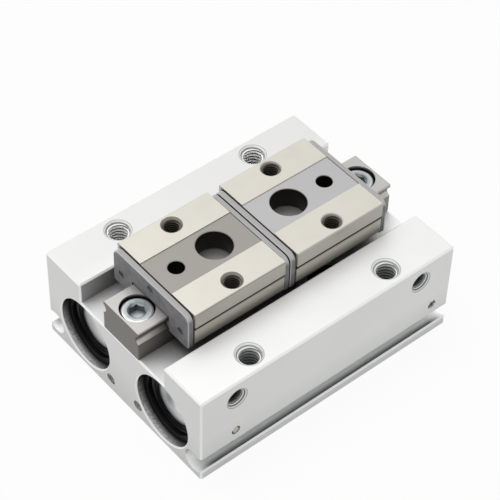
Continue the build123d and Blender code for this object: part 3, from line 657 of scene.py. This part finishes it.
def make_thread(name, size, depth, chamfer):
    """Ridge of a tapped hole whose mouth is at the origin and which goes down Z."""
    radius, pitch = size
    wall = radius + WALL_BITE
    height = RIDGE_SHARE * pitch + WALL_BITE
    bpy.ops.mesh.primitive_plane_add(size=1.0, rotation=(math.pi / 2, 0, 0))
    ridge = new_piece(name)
    ridge.scale = (height, pitch * RIDGE_WIDTH, 1.0)
    ridge.location = (wall - height / 2, 0, -pitch / 2)
    apply_place()

    # Pinch the inner edge to the narrow crest, then keep only the outline
    for vertex in ridge.data.vertices:
        vertex.select = vertex.co.x < wall - height / 2
    bpy.context.tool_settings.mesh_select_mode = (True, False, False)
    bpy.ops.object.mode_set(mode="EDIT")
    bpy.ops.transform.resize(
        value=(1, 1, CREST_SHARE), center_override=(wall - height, 0, -pitch / 2), orient_type="GLOBAL"
    )
    bpy.ops.mesh.select_mode(type="FACE")
    bpy.ops.mesh.select_all(action="SELECT")
    bpy.ops.mesh.delete(type="ONLY_FACE")
    leave_edit()

    # Wind the outline down the hole, and close both of its ends
    apply_modifier(
        ridge, "SCREW", axis="Z", angle=math.tau, screw_offset=-pitch,
        iterations=math.floor(depth / pitch) - 1,
        steps=THREAD_STEPS, render_steps=THREAD_STEPS, use_smooth_shade=True,
    )
    bpy.context.tool_settings.mesh_select_mode = (True, False, False)
    bpy.ops.object.mode_set(mode="EDIT")
    bpy.ops.mesh.select_all(action="SELECT")
    bpy.ops.mesh.remove_doubles(threshold=0.001 * MM)
    bpy.ops.mesh.fill_holes(sides=0)
    bpy.ops.mesh.select_all(action="SELECT")
    bpy.ops.mesh.normals_make_consistent(inside=False)
    leave_edit()

    # The countersink cuts the first turn off at 45 degrees
    over = 0.5 * MM
    under = 0.75 * radius
    mouth = radius + chamfer
    bpy.ops.mesh.primitive_cone_add(
        vertices=64, radius1=mouth - under, radius2=mouth + over, depth=under + over,
        location=(0, 0, (over - under) / 2),
    )
    cone = new_piece("countersink")
    apply_place()
    cut_away(ridge, cone)
    smooth(ridge, 40)

    # For the thread's tone: how near each point is to the crest, and how far down the hole
    crest = ridge.data.attributes.new("crest", "FLOAT", "POINT")
    deep = ridge.data.attributes.new("deep", "FLOAT", "POINT")
    for vertex, crest_share, deep_share in zip(ridge.data.vertices, crest.data, deep.data):
        crest_share.value = (wall - vertex.co.xy.length) / height
        deep_share.value = -vertex.co.z / SHADE_DEPTH
    return ridge


def pattern_places(mount):
    """Centres of a bolt pattern's holes."""
    sizes = mount["dims"]
    half_x = sizes.get("spacing_x_mm", 0.0) * MM / 2
    half_y = sizes.get("spacing_y_mm", 0.0) * MM / 2
    corners = {(sign_x * half_x, sign_y * half_y) for sign_x in (-1, 1) for sign_y in (-1, 1)}
    centre = Vector(mount["pos_m"])
    return [centre + Vector((x, y, 0)) for x, y in sorted(corners)]


def finish_piece(piece, body, material):
    """Give a new piece its material, and let it ride on its body."""
    piece.data.materials.clear()
    piece.data.materials.append(material)
    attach(piece, body)


def thread_holes(near_metal, far_metal, port_metal, finger_metal):
    """Threads in the wall tops, the mounting face, the ports and the fingers."""
    wall = make_thread("wall_thread", M4, 7.0 * MM, 0.35 * MM)
    foot = make_thread("foot_thread", M4, 6.0 * MM, 0.35 * MM)
    port = make_thread("port_thread", M3, 4.5 * MM, 0.5 * MM)
    finger = make_thread("finger_thread", M3, 4.0 * MM, 0.35 * MM)
    for model, mount_name, body, metal, slot in (
        (wall, "wall_threads", "housing", near_metal, "anodised_aluminium"),
        (foot, "foot_threads", "housing", near_metal, "anodised_aluminium"),
        (finger, "left_finger_threads", "left_finger", finger_metal, "ground_steel"),
        (finger, "right_finger_threads", "right_finger", finger_metal, "ground_steel"),
    ):
        mount = mounts[mount_name]
        for number, place in enumerate(pattern_places(mount)):
            thread = copy_to(model, f"{mount_name}_{number}", place, mount["axis"])
            # Holes in the far wall take their own painted light and shade
            finish_piece(thread, body, far_metal if place.y > CHANNEL_SIDE else metal)
    for mount_name in ("open_port", "close_port"):
        mount = mounts[mount_name]
        place = Vector(mount["pos_m"])
        place.y = BODY_LOW.y
        thread = copy_to(port, f"{mount_name}_thread", place, mount["axis"])
        finish_piece(thread, "housing", port_metal)
    for model in (wall, foot, port, finger):
        bpy.data.objects.remove(model)


def make_plate_screw():
    """Cross-recessed screw that stands on Z, its head's top at the origin."""
    bpy.ops.mesh.primitive_cylinder_add(
        vertices=32, radius=SCREW_HEAD, depth=SCREW_HEAD_HEIGHT, location=(0, 0, -SCREW_HEAD_HEIGHT / 2)
    )
    screw = new_piece("plate_screw")
    apply_place()
    pick_faces(screw, lambda normal: normal.z > 0.9)
    bpy.ops.mesh.bevel(offset=SCREW_HEAD_ROUNDING, segments=3, affect="EDGES")
    leave_edit()
    pick_faces(screw, lambda normal: normal.z < -0.9)
    bpy.ops.mesh.inset(thickness=SCREW_HEAD - SCREW_SHANK)
    bpy.ops.mesh.extrude_region_move(
        TRANSFORM_OT_translate={"value": (0, 0, SCREW_HEAD_HEIGHT - SCREW_LENGTH)}
    )
    leave_edit()

    # The recess: a bar, its ends narrowed downwards, and the same bar a quarter turn round
    for turn in (0.0, math.pi / 2):
        bpy.ops.mesh.primitive_cube_add(size=1.0, location=(0, 0, 0), rotation=(0, 0, turn))
        bar = new_piece("recess_bar")
        bar.scale = (2 * CROSS_REACH, CROSS_WIDTH, 2 * CROSS_DEPTH)
        apply_place()
        pick_faces(bar, lambda normal: normal.z < -0.9)
        bpy.ops.transform.resize(value=(CROSS_TAPER, CROSS_TAPER, 1), center_override=(0, 0, -CROSS_DEPTH))
        leave_edit()
        cut_away(screw, bar)
    smooth(screw, 35)
    return screw


def fit_plate_screws(material):
    """Six screws in the end plates of each finger, in place of the plain ones."""
    model = make_plate_screw()
    for finger, side in SIDES.items():
        for plate, outward in (("outer", side), ("inner", -side)):
            low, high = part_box(f"{finger}_{plate}_plate")
            head_x = (high.x if outward > 0 else low.x) - outward * SCREW_SUNK
            for number, (y, z) in enumerate(SCREW_PLACES):
                name = f"{finger}_{plate}_plate_screw_{number}"
                screw = copy_to(model, name, (head_x, y, z), (outward, 0, 0), turn=SCREW_TURN * number)
                finish_piece(screw, f"{finger}_finger", material)
                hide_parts(f"{finger}_plate_screws")
    bpy.data.objects.remove(model)


def seen_rays(tree):
    """1 for camera, mirror and glass rays, 0 for the light that falls on the object."""
    rays = add_node(tree, "LightPath", out=None)
    straight = add_node(tree, "Math", (rays["Is Camera Ray"], rays["Is Glossy Ray"]), operation="MAXIMUM")
    return add_node(tree, "Math", (straight, rays["Is Transmission Ray"]), operation="MAXIMUM")


def white_floor():
    """Sheet of white studio paper under the object, which keeps a faint shadow."""
    bpy.ops.mesh.primitive_plane_add(size=4.0, location=(0, 0, BODY_LOW.z - 0.01 * MM))
    floor = new_piece("floor")
    material = bpy.data.materials.new("studio_paper")
    material.use_nodes = True
    tree = material.node_tree
    tree.nodes.clear()
    paper = add_node(tree, "BsdfDiffuse", {"Color": linear("F4F4F4")})
    glow = add_node(tree, "Emission", {"Color": linear("FFFFFF"), "Strength": 1.0})
    share = add_node(tree, "Math", (seen_rays(tree), FLOOR_GLOW), operation="MULTIPLY")
    surface = add_node(tree, "MixShader", (share, paper, glow))
    add_node(tree, "OutputMaterial", {"Surface": surface}, out=None)
    floor.data.materials.append(material)


def light_world():
    """Even light from all round; the background itself is white."""
    world = bpy.data.worlds.new("studio")
    world.use_nodes = True
    tree = world.node_tree
    tree.nodes.clear()
    strength = add_node(tree, "MapRange", {"Value": seen_rays(tree), "To Min": WORLD_LEVEL, "To Max": 1.0})
    sky = add_node(tree, "Background", {"Color": linear("FFFFFF"), "Strength": strength})
    add_node(tree, "OutputWorld", {"Surface": sky}, out=None)
    bpy.context.scene.world = world


def soft_box():
    """Square area lamp that points at the gripper."""
    lamp = bpy.data.lights.new("top_light", "AREA")
    lamp.size = LAMP_SIZE
    lamp.energy = LAMP_WATTS
    lamp_object = bpy.data.objects.new("top_light", lamp)
    lamp_object.location = LAMP_PLACE
    aim = LAMP_TARGET - LAMP_PLACE
    lamp_object.rotation_euler = aim.to_track_quat("-Z", "Y").to_euler()
    bpy.context.scene.collection.objects.link(lamp_object)


def photo_camera():
    """Camera at the photograph's place and angle."""
    camera = bpy.data.cameras.new("photo_camera")
    camera.sensor_width = SENSOR_MM
    camera.lens = FOCAL_PIXELS / PHOTO_PIXELS * SENSOR_MM
    camera.clip_start = 1 * MM
    camera.clip_end = 10.0
    camera_object = bpy.data.objects.new("photo_camera", camera)
    look = CAMERA_TARGET - CAMERA_PLACE
    turn = look.to_track_quat("-Z", "Y").to_matrix().to_4x4() @ Matrix.Rotation(CAMERA_ROLL, 4, "Z")
    camera_object.matrix_world = Matrix.Translation(CAMERA_PLACE) @ turn
    bpy.context.scene.collection.objects.link(camera_object)
    bpy.context.scene.camera = camera_object


photo_camera()
white_floor()
light_world()
soft_box()
bpy.context.scene.view_settings.view_transform = "Standard"

dull_steel = plain_steel("machined_steel", "9A9A9A", "77787A", 0.4, 0.4 * MM)
spring_steel = plain_steel("phosphated_spring_steel", "2A2A2C", "1A1A1B", 0.5, 0.3 * MM)
ball_steel = plain_steel("polished_bearing_steel", "C8C8CA", "B4B4B6", 0.12, 2.0 * MM)
magnet_nickel = plain_steel("nickel_plated_magnet", "B9B8B4", "A2A19D", 0.3, 0.6 * MM)
plate_nylon = moulded_plastic("moulded_grey_nylon")
rubber = black_rubber("nitrile_rubber")

dress(blasted_aluminium("blasted_anodised_aluminium"), "housing")
dress(rail_steel("ground_rail_steel"), "guide_rail")
dress(socket_screw_steel("bright_zinc_plated_steel"), "rail_screws")
dress(dull_steel, "pinion_axle", "pinion")
dress(plug_steel("pressed_plug_steel_pale", "C4C1B8", "A8A59D"), "side_plugs")
dress(plug_steel("pressed_plug_steel_dark", "8E8E8C", "2C2C2C"), "end_plugs")
# Each bore's caps carry their own depth of painted reflection
for bore, centre_y, patch_depth in (("near", -BORE_Y, 0.65), ("far", BORE_Y, 0.15)):
    cap_metal = turned_aluminium(f"turned_aluminium_{bore}", centre_y, patch_depth)
    for end in SIDES:
        dress(cap_metal, f"end_cap_{end}_{bore}")
        dress(rubber, f"cap_seal_{end}_{bore}", f"damper_{end}_{bore}")
        dress(spring_steel, f"retaining_ring_{end}_{bore}")
# Each finger's milled strip has its own tone, a painted reflection
for finger, strip, ring_top in (
    ("left", "98948F", BLOCK_HIGH.z), ("right", "B8B7B9", BLOCK_HIGH.z - 0.16 * MM),
):
    dress(ground_steel(f"ground_steel_{finger}", strip, ring_top), f"{finger}_finger_block")
    dress(plate_nylon, f"{finger}_inner_plate", f"{finger}_outer_plate")
    dress(rubber, f"{finger}_inner_wiper", f"{finger}_outer_wiper")
    dress(rubber, f"{finger}_piston_seal_left", f"{finger}_piston_seal_right")
    dress(dull_steel, f"{finger}_joint_pin", f"{finger}_piston", f"{finger}_plate_screws")
    dress(ball_steel, f"{finger}_guide_balls")
    dress(magnet_nickel, f"{finger}_piston_magnet")

# Tapped metal: crests at the mouth and deep down, and then roots, all painted light and shade;
# the far wall's holes take their own painted tones
thread_holes(
    thread_finish("tapped_anodised_aluminium", ("FFFFFF", "C4C6C6"), ("8A8C8C", "060606"), 1.0, 0.75),
    thread_finish("tapped_anodised_aluminium_far", ("FFFFFF", "FFFFFF"), ("7C7E7E", "0A0B0B"), 1.0, 0.95),
    thread_finish("tapped_port_aluminium", ("9A9C9C", "6A6C6C"), ("3A3C3C", "0A0A0A"), 0.6, 0.4),
    thread_finish("tapped_stainless_steel", ("86827A", "6E6A60"), ("4A463E", "0A0907"), 0.5, 0.4),
)
fit_plate_screws(plain_steel("black_oxide_steel", "6E6E70", "828284", 0.45, 0.4 * MM))
